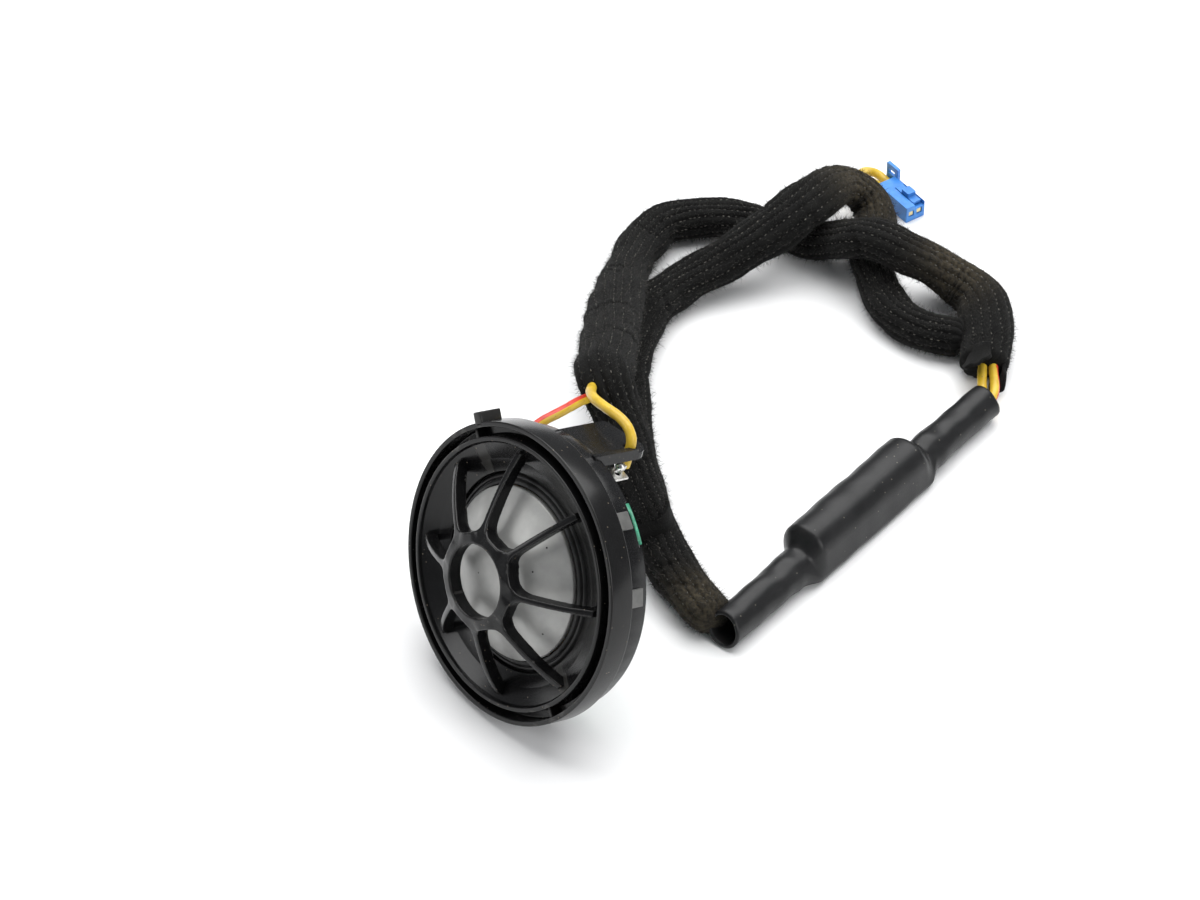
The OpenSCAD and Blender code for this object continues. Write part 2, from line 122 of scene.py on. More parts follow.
# Paths and frames
def smooth_path(route, step=0.3, soften=1.0):
    """Catmull-Rom curve through the route in even steps, its kinks eased over soften millimetres."""
    p = np.array(route, float)
    p = np.vstack([2 * p[0] - p[1], p, 2 * p[-1] - p[-2]])
    out = []
    for i in range(1, len(p) - 2):
        a, b, c, d = p[i - 1:i + 3]
        t = (np.arange(24) / 24)[:, None]
        out.append(0.5 * (2 * b + (c - a) * t + (2 * a - 5 * b + 4 * c - d) * t ** 2
                          + (3 * b - a - 3 * c + d) * t ** 3))
    p = np.vstack(out + [p[-2:-1]])
    p = evenly(p, step)
    reach = int(2.5 * soften / step)
    if reach > 1:
        weight = np.exp(-0.5 * (np.arange(-reach, reach + 1) * step / soften) ** 2)
        padded = np.vstack([2 * p[0] - p[reach:0:-1], p, 2 * p[-1] - p[-2:-reach - 2:-1]])
        p = np.stack([np.convolve(padded[:, k], weight / weight.sum(), "valid") for k in range(3)], 1)
    return evenly(p, step) * MM


def evenly(p, step):
    s = np.concatenate([[0], np.cumsum(np.linalg.norm(np.diff(p, axis=0), axis=1))])
    at = np.linspace(0, s[-1], max(2, int(round(s[-1] / step)) + 1))
    return np.stack([np.interp(at, s, p[:, k]) for k in range(3)], 1)


def frames_along(path):
    """Tangents, and two directions square to them that don't spin about the path."""
    tangent = np.gradient(path, axis=0)
    tangent /= np.linalg.norm(tangent, axis=1)[:, None]
    side = np.cross(tangent[0], (0, 0, 1.0))
    sides = []
    for t in tangent:
        side = side - t * (side @ t)
        side /= np.linalg.norm(side)
        sides.append(side)
    sides = np.array(sides)
    return tangent, sides, np.cross(sides, tangent)


def lengths_along(path):
    return np.concatenate([[0], np.cumsum(np.linalg.norm(np.diff(path, axis=0), axis=1))])


# Meshes
def piece(name, points, faces, material, smooth=True):
    mesh = bpy.data.meshes.new(name)
    mesh.from_pydata([tuple(p) for p in points], [], faces)
    bm = bmesh.new()
    bm.from_mesh(mesh)
    bmesh.ops.recalc_face_normals(bm, faces=bm.faces)
    bm.to_mesh(mesh)
    bm.free()
    obj = bpy.data.objects.new(name, mesh)
    bpy.context.scene.collection.objects.link(obj)
    mesh.materials.append(material)
    mesh.shade_smooth() if smooth else mesh.shade_flat()
    return obj


def ring_faces(rings, around, closed=False):
    """Quads between successive rings of the same number of points, with a fan at each end."""
    last = rings if closed else rings - 1
    faces = []
    for i in range(last):
        a, b = i * around, (i + 1) % rings * around
        faces += [(a + k, a + (k + 1) % around, b + (k + 1) % around, b + k) for k in range(around)]
    if not closed:
        faces.append(tuple(range(around - 1, -1, -1)))
        faces.append(tuple((rings - 1) * around + k for k in range(around)))
    return faces


def swept(path, radii, turns):
    """Points of rings round a path, from a radius for each ring and angle."""
    _, side, up = frames_along(path)
    cos, sin = np.cos(turns), np.sin(turns)
    offset = side[:, None] * (radii * cos)[..., None] + up[:, None] * (radii * sin)[..., None]
    return path[:, None] + offset


def tube(name, route, radius, material, around=24, soften=0.6, wobble=0.0, seed=1, end=0.5):
    """A round wire along a route, with rounded ends and a slight hand-bent unevenness."""
    path = smooth_path(route, 0.25, soften)
    rng = np.random.default_rng(seed)
    s = lengths_along(path) / MM
    phase = rng.uniform(0, 6.28, 4)
    radii = radius * (1 + wobble * sum(np.sin(s * f + p) for f, p in zip((0.7, 1.3, 2.1, 3.7), phase)) / 4)
    near = np.minimum(s, s[-1] - s) / (radius * end)
    radii *= np.sqrt(np.clip(1 - (1 - np.clip(near, 0, 1)) ** 2, 0.02, 1))
    turns = np.linspace(0, 2 * math.pi, around, endpoint=False)
    points = swept(path, radii[:, None] * MM * np.ones(around), turns[None])
    obj = piece(name, points.reshape(-1, 3), ring_faces(len(path), around), material)
    return obj, path


def lathe(name, profile, material, around=192, closed=False, place=SEAT, smooth=True):
    """Turns an (r, z) profile in millimetres about the tweeter's axis."""
    profile = np.array(profile, float) * MM
    turns = np.linspace(0, 2 * math.pi, around, endpoint=False)
    points = np.stack([profile[:, :1] * np.cos(turns), profile[:, :1] * np.sin(turns),
                       profile[:, 1:] + 0 * turns], -1).reshape(-1, 3)
    obj = piece(name, points, ring_faces(len(profile), around, closed), material, smooth)
    obj.data.transform(place)
    return obj


def rounded(corners, radius=0.2, steps=4):
    """A closed profile with its corners rounded by arcs."""
    out = []
    for i, at in enumerate(corners):
        at = np.array(at, float)
        before = np.array(corners[i - 1], float) - at
        after = np.array(corners[(i + 1) % len(corners)], float) - at
        la, lb = np.linalg.norm(before), np.linalg.norm(after)
        half = math.acos(np.clip(before @ after / la / lb, -1, 1)) / 2
        cut = min(radius / math.tan(half), 0.45 * la, 0.45 * lb)
        a, b = at + before / la * cut, at + after / lb * cut
        for t in np.linspace(0, 1, steps + 1):
            out.append((1 - t) ** 2 * a + 2 * t * (1 - t) * at + t * t * b)
    return out


def attribute(obj, name, values):
    layer = obj.data.attributes.new(name, "FLOAT", "POINT")
    layer.data.foreach_set("value", np.ravel(values).astype(np.float32))


def modifier(obj, kind, **settings):
    m = obj.modifiers.new(kind.title(), kind)
    for key, value in settings.items():
        setattr(m, key, value)
    return m


def apply_modifiers(obj):
    dg = bpy.context.evaluated_depsgraph_get()
    mesh = bpy.data.meshes.new_from_object(obj.evaluated_get(dg), depsgraph=dg)
    obj.modifiers.clear()
    obj.data = mesh
    return obj


# Materials
def add(tree, kind, settings=None, **sockets):
    n = tree.nodes.new("ShaderNode" + kind)
    for key, value in (settings or {}).items():
        setattr(n, key, value)
    for key, value in sockets.items():
        socket = n.inputs[key.replace("_", " ")]
        if isinstance(value, bpy.types.NodeSocket):
            tree.links.new(value, socket)
        else:
            socket.default_value = value
    return n


def ramp(tree, factor, low, high, start=0.35, end=0.65):
    r = add(tree, "ValToRGB", None, Fac=factor)
    for element, position, colour in zip(r.color_ramp.elements, (start, end), (low, high)):
        element.position = position
        element.color = (*colour, 1) if len(colour) == 3 else colour
    return r.outputs["Color"]


def blend_colour(tree, factor, a, b, kind="MIX"):
    m = add(tree, "Mix", {"data_type": "RGBA", "blend_type": kind})
    for socket, value in ((m.inputs[0], factor), (m.inputs[6], a), (m.inputs[7], b)):
        if isinstance(value, bpy.types.NodeSocket):
            tree.links.new(value, socket)
        else:
            socket.default_value = (*value, 1) if isinstance(value, tuple) else value
    return m.outputs[2]


def noise(tree, scale, detail=4.0, roughness=0.55, distortion=0.0, stretch=None):
    coordinates = add(tree, "TexCoord").outputs["Object"]
    if stretch:
        coordinates = add(tree, "Mapping", None, Vector=coordinates, Scale=stretch).outputs["Vector"]
    return add(tree, "TexNoise", None, Vector=coordinates, Scale=scale, Detail=detail,
               Roughness=roughness, Distortion=distortion).outputs["Fac"]


def specks(tree, scale, size, share):
    """1 inside small scattered dots, 0 elsewhere; share is how many of the cells hold one."""
    coordinates = add(tree, "TexCoord").outputs["Object"]
    cells = add(tree, "TexVoronoi", None, Vector=coordinates, Scale=scale)
    near = add(tree, "Math", {"operation": "LESS_THAN"}, Value=cells.outputs["Distance"])
    near.inputs[1].default_value = size
    red = add(tree, "SeparateColor", None, Color=cells.outputs["Color"]).outputs["Red"]
    picked = add(tree, "Math", {"operation": "LESS_THAN"}, Value=red)
    picked.inputs[1].default_value = share
    both = add(tree, "Math", {"operation": "MULTIPLY"}, Value=near.outputs[0])
    tree.links.new(picked.outputs[0], both.inputs[1])
    return both.outputs[0]


def span(tree, factor, low, high):
    return add(tree, "MapRange", None, Value=factor, From_Min=0.3, From_Max=0.7, To_Min=low,
               To_Max=high).outputs["Result"]


def finish(name, low, high, roughness, drift=900.0, grain=9000.0, bump=0.15, depth=0.00002, metallic=0.0,
           dust=None, share=0.12, dust_scale=2200.0, wear=None, stretch=None, **fixed):
    """A finish whose colour and gloss drift with noise, with a fine grain, and dust or wear on top."""
    m = bpy.data.materials.new(name)
    m.use_nodes = True
    tree = m.node_tree
    shader = tree.nodes["Principled BSDF"]
    broad, fine = noise(tree, drift, 5), noise(tree, grain, 3, 0.6, 0.0, stretch)
    colour = ramp(tree, broad, low, high)
    if wear:
        edge = add(tree, "NewGeometry").outputs["Pointiness"]
        colour = blend_colour(tree, ramp(tree, edge, (0, 0, 0), (1, 1, 1), 0.51, 0.60), colour, wear)
    if dust:
        colour = blend_colour(tree, specks(tree, dust_scale, 0.22, share), colour, dust)
    tree.links.new(colour, shader.inputs["Base Color"])
    tree.links.new(span(tree, fine, roughness - 0.06, roughness + 0.08), shader.inputs["Roughness"])
    relief = add(tree, "Bump", None, Strength=bump, Distance=depth, Height=fine)
    tree.links.new(relief.outputs["Normal"], shader.inputs["Normal"])
    shader.inputs["Metallic"].default_value = metallic
    for key, value in fixed.items():
        shader.inputs[key.replace("_", " ")].default_value = value
    return m


def fleece(name):
    """Charcoal fleece tape: mottled and matt, with painted shade in its stitch grooves and bend creases, and
    pale dust where the vertex value says so.
    """
    m = bpy.data.materials.new(name)
    m.use_nodes = True
    tree = m.node_tree
    shader = tree.nodes["Principled BSDF"]
    broad, fine = noise(tree, 420, 4), noise(tree, 5200, 5, 0.7)
    colour = ramp(tree, broad, (0.0028, 0.0028, 0.0028), (0.0070, 0.0070, 0.0066))
    colour = blend_colour(tree, ramp(tree, fine, (0, 0, 0), (0.8, 0.8, 0.8), 0.45, 0.75), colour,
                          (0.017, 0.0168, 0.0158))
    # Painted shade: the groove value darkens the tape in its stitch grooves and in the creases inside sharp
    # bends.
    groove = add(tree, "Attribute", {"attribute_name": "groove"}).outputs["Fac"]
    colour = blend_colour(tree, groove, colour, (0.004, 0.004, 0.004))
    dust = add(tree, "Attribute", {"attribute_name": "dust"}).outputs["Fac"]
    patchy = add(tree, "Math", {"operation": "MULTIPLY"}, Value=dust)
    tree.links.new(span(tree, noise(tree, 1500, 4, 0.7), 0, 1), patchy.inputs[1])
    colour = blend_colour(tree, patchy.outputs[0], colour, (0.085, 0.070, 0.046))
    tree.links.new(colour, shader.inputs["Base Color"])
    tree.links.new(span(tree, fine, 0.86, 1.0), shader.inputs["Roughness"])
    relief = add(tree, "Bump", None, Strength=0.6, Distance=0.00025, Height=fine)
    tree.links.new(relief.outputs["Normal"], shader.inputs["Normal"])
    shader.inputs["Specular IOR Level"].default_value = 0.10
    shader.inputs["Sheen Weight"].default_value = 0.03
    shader.inputs["Sheen Roughness"].default_value = 0.5
    return m


def toned(name, low, high, roughness=0.8):
    """Threads and fibres: each takes its own tone from low to high."""
    m = bpy.data.materials.new(name)
    m.use_nodes = True
    tree = m.node_tree
    shader = tree.nodes["Principled BSDF"]
    tone = add(tree, "Attribute", {"attribute_name": "tone"}).outputs["Fac"]
    colour = ramp(tree, tone, low, high, 0.0, 1.0)
    spotted = blend_colour(tree, span(tree, noise(tree, 6000, 3), 0.0, 0.5), colour, low)
    tree.links.new(spotted, shader.inputs["Base Color"])
    tree.links.new(span(tree, noise(tree, 9000, 2), roughness - 0.1, roughness + 0.1),
                   shader.inputs["Roughness"])
    return m


MATERIALS = {
    "moulding": finish("black_moulding", (0.0035, 0.0035, 0.0037), (0.0058, 0.0058, 0.0062), 0.20, 500,
                       14000, 0.10, wear=(0.035, 0.034, 0.032), dust=(0.12, 0.10, 0.075), share=0.04,
                       Specular_IOR_Level=0.27),
    "housing": finish("housing_plastic", (0.004, 0.004, 0.0043), (0.0065, 0.0065, 0.007), 0.24, 400, 11000,
                      0.14, dust=(0.10, 0.09, 0.07), share=0.03, Specular_IOR_Level=0.27),
    "frame": finish("frame_plastic", (0.010, 0.010, 0.011), (0.018, 0.018, 0.019), 0.5, 500, 9000, 0.2),
    "surround": finish("surround_cloth", (0.005, 0.005, 0.005), (0.011, 0.011, 0.011), 0.55, 900, 16000,
                       0.3),
    "dome": finish("silk_dome", (0.33, 0.33, 0.32), (0.41, 0.41, 0.395), 0.42, 260, 30000, 0.12,
                   metallic=0.3, dust=(0.02, 0.02, 0.02), share=0.02, dust_scale=1500),
    "board": finish("green_board", (0.02, 0.16, 0.09), (0.035, 0.26, 0.15), 0.35, 700, 12000, 0.15),
    "tinned": finish("tinned_brass", (0.62, 0.61, 0.58), (0.82, 0.81, 0.78), 0.30, 1500, 7000, 0.35,
                     metallic=1.0),
    "solder": finish("solder", (0.55, 0.55, 0.54), (0.80, 0.80, 0.79), 0.27, 1300, 4200, 0.5, metallic=1.0),
    "rivet": finish("brass_rivet", (0.55, 0.45, 0.22), (0.72, 0.62, 0.34), 0.32, 1500, 8000, 0.2,
                    metallic=1.0),
    "steel": finish("plated_steel", (0.30, 0.30, 0.31), (0.40, 0.40, 0.41), 0.34, 300, 6000, 0.25,
                    metallic=1.0, dust=(0.20, 0.17, 0.13), share=0.04, stretch=(1, 1, 0.08)),
    "magnet": finish("magnet_plating", (0.28, 0.28, 0.30), (0.36, 0.36, 0.38), 0.22, 300, 9000, 0.1,
                     metallic=1.0),
    "copper": finish("enamelled_copper", (0.42, 0.15, 0.05), (0.60, 0.26, 0.10), 0.28, 900, 8000, 0.3,
                     metallic=0.9),
    "kapton": finish("former_film", (0.42, 0.22, 0.05), (0.55, 0.32, 0.09), 0.38, 600, 9000, 0.1),
    "felt": finish("felt", (0.09, 0.09, 0.095), (0.20, 0.20, 0.21), 0.95, 1600, 5000, 0.7, 0.0002),
    "foam": finish("foam", (0.012, 0.012, 0.012), (0.03, 0.03, 0.03), 0.95, 2200, 4200, 0.8, 0.0002),
    "yellow": finish("yellow_insulation", (0.50, 0.325, 0.022), (0.66, 0.445, 0.035), 0.36, 420, 9000, 0.18,
                     dust=(0.30, 0.19, 0.05), share=0.05, dust_scale=1800, Subsurface_Weight=0.0),
    "red": finish("red_stripe", (0.45, 0.02, 0.012), (0.60, 0.045, 0.02), 0.38, 700, 9000, 0.15),
    "shrink": finish("shrink_tube", (0.006, 0.006, 0.0064), (0.011, 0.011, 0.0115), 0.36, 260, 5200, 0.30,
                     0.00004, dust=(0.09, 0.085, 0.07), share=0.05, dust_scale=1800,
                     Specular_IOR_Level=0.30),
    "capacitor": finish("capacitor_sleeve", (0.02, 0.03, 0.12), (0.03, 0.045, 0.18), 0.3, 500, 9000, 0.1),
    "clip": finish("clip_plastic", (0.075, 0.075, 0.072), (0.11, 0.11, 0.105), 0.42, 500, 9000, 0.2),
    "blue": finish("blue_plastic", (0.035, 0.19, 0.56), (0.055, 0.26, 0.68), 0.36, 500, 11000, 0.2,
                   dust=(0.18, 0.30, 0.45), share=0.03),
    # Painted shade: a darker copy of the blue connector plastic, given to the rear lock for the shade it
    # sits in.
    "shaded_blue": finish("blue_plastic_painted_shade", (0.022, 0.12, 0.42), (0.035, 0.16, 0.52), 0.38, 500, 11000, 0.2),
    "fleece": fleece("fleece_tape"),
    "thread": toned("stitch_thread", (0.010, 0.010, 0.009), (0.24, 0.23, 0.20)),
    "fibre": toned("fleece_fibre", (0.006, 0.006, 0.006), (0.12, 0.115, 0.10), 0.9),
    "floor": finish("paper_floor", (0.86, 0.86, 0.86), (0.89, 0.89, 0.89), 0.7, 20, 900, 0.02),
}


# Fleece-taped lead
ROWS = 13
AROUND = 104


def level_turn(path):
    """The angle round each ring at which the section lies level, eased through the steep stretches."""
    tangent, side, up = frames_along(path)
    level = np.cross(tangent, (0, 0, 1.0))
    firm = np.linalg.norm(level, axis=1) > 0.45
    angle = np.unwrap(np.arctan2((level * up).sum(1), (level * side).sum(1))[firm])
    places = np.arange(len(path))
    return np.interp(places, places[firm], angle)


def flattened(local, width, height, power=2.3):
    """Radius of a soft flat oval, for the angles from its long axis."""
    wide, tall = np.abs(np.cos(local)) / width, np.abs(np.sin(local)) / height
    return (wide ** power + tall ** power) ** (-1 / power)


def wrinkles(rng, s, turns, count, depth):
    """Short sharp creases across the tape, each over part of the way round."""
    total = np.zeros((len(s), len(turns)))
    for at, middle, skew in zip(rng.uniform(4, s[-1] - 4, count), rng.uniform(0, 6.28, count),
                                rng.normal(0, 2.4, count)):
        facing = np.clip(np.cos(turns - middle), 0, 1) ** 1.5
        gap = s[:, None] - at - skew * np.sin(turns - middle)[None]
        total += facing[None] * (np.exp(-(gap / 0.5) ** 2) - 0.3 * np.exp(-((gap - 1.2) / 1.1) ** 2))
    return total * depth


def fleece_lead(name, route, form, seed, row_turn, dusty):
    """The taped lead: a flattened wrap with raised wales, stitch grooves, a seam, lumps and creases."""
    path = smooth_path(route, 0.3, 1.2)
    rng = np.random.default_rng(seed)
    tangent, side, up = frames_along(path)
    s = lengths_along(path) / MM
    turns = np.linspace(0, 2 * math.pi, AROUND, endpoint=False)
    drift = row_turn[0] + row_turn[1] * s[:, None] / 100 + 0.15 * np.sin(s[:, None] / 9 + seed)
    local = turns[None] - drift
    wale = np.cos(ROWS * local) * 0.5 + 0.5
    groove = np.clip(1 - wale * 3.2, 0, 1)
    width, height = (np.interp(s, [f[0] for f in form], [f[k] for f in form])[:, None] for k in (1, 2))
    radii = flattened(turns[None] - level_turn(path)[:, None], width, height)
    radii = radii + 0.12 * wale - 0.20 * groove
    radii += lumps(rng, s, turns, 0.30) - wrinkles(rng, s, turns, int(s[-1] / 7), 0.34)
    lap = (local - 2.1) % (2 * math.pi)
    radii += 0.22 * np.clip(1 - lap / 0.9, 0, 1) * (lap < 0.9)
    bend = np.gradient(tangent, axis=0) / (0.3 * MM)
    sharp = np.clip(np.linalg.norm(bend, axis=1) * TAPE_R * MM - 0.22, 0, 1)
    inward = np.arctan2((bend * up).sum(1), (bend * side).sum(1))
    facing = np.clip(np.cos(turns[None] - inward[:, None]), 0, 1)
    pleat = np.sin(math.pi * s / 2.3 + np.sin(s / 5)) ** 2
    radii -= (sharp * 1.2)[:, None] * facing * pleat[:, None]
    radii += rng.normal(0, 0.032, radii.shape)
    near = np.clip(np.minimum(s, s[-1] - s) / 1.4, 0, 1)
    radii *= np.sqrt(np.clip(1 - (1 - near) ** 2, 0.03, 1))[:, None]
    points = swept(path, radii * MM, turns[None])
    points[..., 2] = np.maximum(points[..., 2], 0.04 * MM)
    obj = piece(name, points.reshape(-1, 3), ring_faces(len(path), AROUND), MATERIALS["fleece"])
    dust = sum(np.exp(-np.sum((points / MM - np.array(at)) ** 2, -1) / size ** 2) for at, size in dusty)
    # Painted shade for the colour: stitch grooves and the creases inside sharp bends, stored in the groove
    # value.
    attribute(obj, "groove", groove * 0.55 + np.clip(sharp[:, None] * facing * pleat[:, None] * 2, 0, 0.5))
    attribute(obj, "dust", np.clip(dust, 0, 1))
    return obj, path, points, drift[:, 0]


def lumps(rng, s, turns, size):
    total = np.zeros((len(s), len(turns)))
    for order in (1, 2, 3):
        for wave in (5.0, 9.0, 17.0):
            phase, twist = rng.uniform(0, 6.28, 2)
            along = np.sin(2 * math.pi * s[:, None] / wave / 2 + phase)
            total += np.cos(order * turns[None] + twist) * along
    return total * size / 3


def stitches(name, points, drift, seed):
    """Small pale thread loops along every groove of the tape."""
    rng = np.random.default_rng(seed)
    spots, along, tones = [], [], []
    for row in range(ROWS):
        angle = drift + (row + 0.5) * 2 * math.pi / ROWS
        column = np.round(angle / (2 * math.pi) * AROUND).astype(int) % AROUND
        for i in np.arange(6, len(points) - 7, 3.5) + rng.uniform(0, 3):
            i = int(i + rng.normal(0, 0.25))
            if not 2 < i < len(points) - 3:
                continue
            middle = points[i].mean(0)
            at = points[i, column[i]]
            out = (at - middle) / np.linalg.norm(at - middle)
            ahead = points[i + 1, column[i + 1]] - points[i - 1, column[i - 1]]
            spots.append(at + out * 0.05 * MM)
            along.append((ahead / np.linalg.norm(ahead), out))
            tones.append(min(1, rng.beta(1.1, 3.2) * 1.3))
    verts, faces, tone = [], [], []
    for at, (ahead, out), t in zip(spots, along, tones):
        across = np.cross(ahead, out)
        half = rng.uniform(0.17, 0.27) * MM
        base = len(verts)
        ring = [across * 0.09, out * 0.10, -across * 0.09, -out * 0.10]
        verts += [at - ahead * half] + [at - ahead * half * 0.5 + r * MM for r in ring]
        verts += [at + ahead * half * 0.5 + r * MM for r in ring] + [at + ahead * half]
        for k in range(4):
            n = (k + 1) % 4
            faces += [(base, base + 1 + n, base + 1 + k), (base + 9, base + 5 + k, base + 5 + n),
                      (base + 1 + k, base + 1 + n, base + 5 + n, base + 5 + k)]
        tone += [t] * 10
    obj = piece(name, verts, faces, MATERIALS["thread"])
    attribute(obj, "tone", tone)
    return obj


def fibres(name, points, count, seed, long=1.15, pale=0.05):
    """Fine curved hairs standing on the fleece, lying mostly along it."""
    rng = np.random.default_rng(seed)
    i = rng.integers(4, len(points) - 5, count)
    k = rng.integers(0, points.shape[1], count)
    at = points[i, k]
    out = at - points[i].mean(1)
    out /= np.linalg.norm(out, axis=1)[:, None]
    ahead = points[i + 2, k] - points[i - 2, k]
    ahead /= np.linalg.norm(ahead, axis=1)[:, None]
    way = ahead * rng.normal(0, 0.9, (count, 1)) + out * rng.uniform(0.45, 1.3, (count, 1))
    way += rng.normal(0, 0.45, (count, 3))
    way /= np.linalg.norm(way, axis=1)[:, None]
    long = rng.uniform(0.35, 1, (count, 1)) * long * MM
    curl = rng.normal(0, 0.35, (count, 3))
    broad = np.cross(way, rng.normal(0, 1, (count, 3)))
    broad *= rng.uniform(0.018, 0.032, (count, 1)) * MM / np.linalg.norm(broad, axis=1)[:, None]
    other = np.cross(way, broad)
    start = at - out * 0.06 * MM
    middle = start + (way + curl * 0.4) * long * 0.5
    tip = start + (way + curl) * long
    corners = [broad, -0.5 * broad + 0.87 * other, -0.5 * broad - 0.87 * other]
    verts = np.stack([start + c for c in corners] + [middle + c * 0.8 for c in corners] + [tip], 1)
    verts[..., 2] = np.maximum(verts[..., 2], 0.03 * MM)
    faces = []
    for b in range(0, 7 * count, 7):
        for c in range(3):
            n = (c + 1) % 3
            faces += [(b + c, b + n, b + 3 + n, b + 3 + c), (b + 3 + c, b + 3 + n, b + 6)]
        faces.append((b + 2, b + 1, b))
    obj = piece(name, verts.reshape(-1, 3), faces, MATERIALS["fibre"])
    tone = np.where(rng.uniform(0, 1, count) < pale, rng.uniform(0.7, 1, count), rng.uniform(0, 0.45, count))
    attribute(obj, "tone", np.repeat(tone, 7))
    return obj


def thickened(rows, thick):
    """A closed solid from a grid of points: its front, a back set off along the normals, and its edges."""
    grid = np.array(rows)
    normal = np.cross(np.gradient(grid, axis=0), np.gradient(grid, axis=1))
    normal /= np.linalg.norm(normal, axis=2)[..., None] + 1e-12
    n, m = grid.shape[:2]
    points = np.concatenate([(grid + normal * way).reshape(-1, 3) for way in (thick / 2, -thick / 2)])
    back, faces = n * m, []
    for i in range(n - 1):
        for k in range(m - 1):
            a, b, c, d = i * m + k, i * m + k + 1, (i + 1) * m + k + 1, (i + 1) * m + k
            faces += [(a, b, c, d), (back + d, back + c, back + b, back + a)]
    edge = list(range(m)) + [i * m + m - 1 for i in range(1, n)]
    edge += list(range((n - 1) * m + m - 2, (n - 1) * m - 1, -1)) + [i * m for i in range(n - 2, 0, -1)]
    faces += [(a, back + a, back + b, b) for a, b in zip(edge, edge[1:] + edge[:1])]
    return points, faces


def flaps(name, path, reaches, seed):
    """The tape's loose ends past a lead's last turn: one curled flap for each (from, to, reach, flare)."""
    rng = np.random.default_rng(seed)
    tangent, side, up = frames_along(path)
    turn = level_turn(path)[-1]
    root, ahead = path[-1] - tangent[-1] * 2.2 * MM, tangent[-1]
    verts, faces = [], []
    for start, stop, reach, flare in reaches:
        rows, wave = [], rng.uniform(0, 6.28, 3)
        for v in np.linspace(0, 1, 22):
            row = []
            for u in np.linspace(0, 1, 26):
                angle = turn + start + (stop - start) * u
                ragged = 1 - 0.5 * abs(2 * u - 1) ** 2.2 + 0.05 * np.sin(17 * u + wave[0])
                far = 2.2 + reach * ragged
                wide = 3.35 * (1 + 0.03 * np.sin(9 * u + wave[1])) + flare * v ** 1.6
                wide += 0.15 * np.sin(5 * v + wave[2])
                out = side[-1] * math.cos(angle) * wide + up[-1] * math.sin(angle) * wide * 0.86
                row.append(root + (ahead * far * v + out) * MM)
            rows.append(row)
        points, quads = thickened(rows, 0.5 * MM)
        faces += [tuple(f + len(verts) for f in quad) for quad in quads]
        verts += [tuple(p) for p in points]
    verts = [(x, y, max(z, 0.05 * MM)) for x, y, z in verts]
    obj = piece(name, verts, faces, MATERIALS["fleece"])
    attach(obj, "root")
    return obj


# Wires
def wire(name, node, route, seed, stripe=None, radius=WIRE_R, soften=0.6):
    """An insulated wire; a stripe is (turn, turns per centimetre) for a red line along it."""
    around = 32
    obj, path = tube(name, route, radius, MATERIALS["yellow"], around, soften, 0.035, seed)
    if stripe:
        obj.data.materials.append(MATERIALS["red"])
        s = lengths_along(path) / MM
        for f in obj.data.polygons:
            ring, k = f.index // around, f.index % around
            at = k / around - stripe[0] - stripe[1] * s[min(ring, len(s) - 1)] / 10
            if len(f.vertices) == 4 and at % 1 < 0.19:
                f.material_index = 1
    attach(obj, "root")
    if node:
        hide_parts(node)
    return obj, path


# Grille: the turned front, and the spider of blades round the central ring
RING_HOLE, RING_OUT, RING_TOP = 5.4, 7.05, 6.3
BLADES, BLADE_TURN, BLADE_TIP = 8, 15, 18.2


def arch(r):
    """Height of a blade's front edge at a radius, in front of the rim's plane."""
    u = (BLADE_TIP - r) / (BLADE_TIP - 6.2)
    return (RING_TOP - 0.2) * (0.72 * u + 0.28 * (1 - (1 - u) ** 3))


def spider_outline():
    """The spider from the front: an octagon with blades, its inner corners filleted."""
    half = 0.5 * 0.92
    points = []
    sector = 2 * math.pi / BLADES
    for i in range(BLADES):
        axis = math.radians(90 + BLADE_TURN) + i * sector
        flat = axis + sector / 2
        for x in np.linspace(9.6, BLADE_TIP, 15)[::-1] * 1.0:
            points.append(polar(x, half * (1 + 0.16 * (x > 16)), axis))
        corner = np.array(line_meet(axis, half, flat, RING_OUT))
        along_blade = np.array([math.cos(axis), math.sin(axis)])
        along_flat = np.array([-math.sin(flat), math.cos(flat)])
        for t in np.linspace(0, 1, 9):
            a, b = corner + along_blade * 1.5, corner + along_flat * 1.5
            points.append(tuple((1 - t) ** 2 * a + 2 * t * (1 - t) * corner + t * t * b))
        following = axis + sector
        corner = np.array(line_meet(following, -half, flat, RING_OUT))
        along_blade = np.array([math.cos(following), math.sin(following)])
        for t in np.linspace(0, 1, 9):
            a, b = corner - along_flat * 1.5, corner + along_blade * 1.5
            points.append(tuple((1 - t) ** 2 * a + 2 * t * (1 - t) * corner + t * t * b))
        for x in np.linspace(9.6, BLADE_TIP, 15):
            points.append(polar(x, -half * (1 + 0.16 * (x > 16)), following))
    return points


def polar(along, across, axis):
    cos, sin = math.cos(axis), math.sin(axis)
    return (along * cos - across * sin, along * sin + across * cos)


def line_meet(axis, across, flat, distance):
    """Where a blade's side meets the octagon's side."""
    normal = np.array([[-math.sin(axis), math.cos(axis)], [math.cos(flat), math.sin(flat)]])
    return np.linalg.solve(normal, (across, distance))


def spider_height(x, y):
    r = math.hypot(x, y)
    return arch(r) if r > 7.6 else arch(7.6) + (RING_TOP - arch(7.6)) * min(1, (7.6 - r) / 0.9)


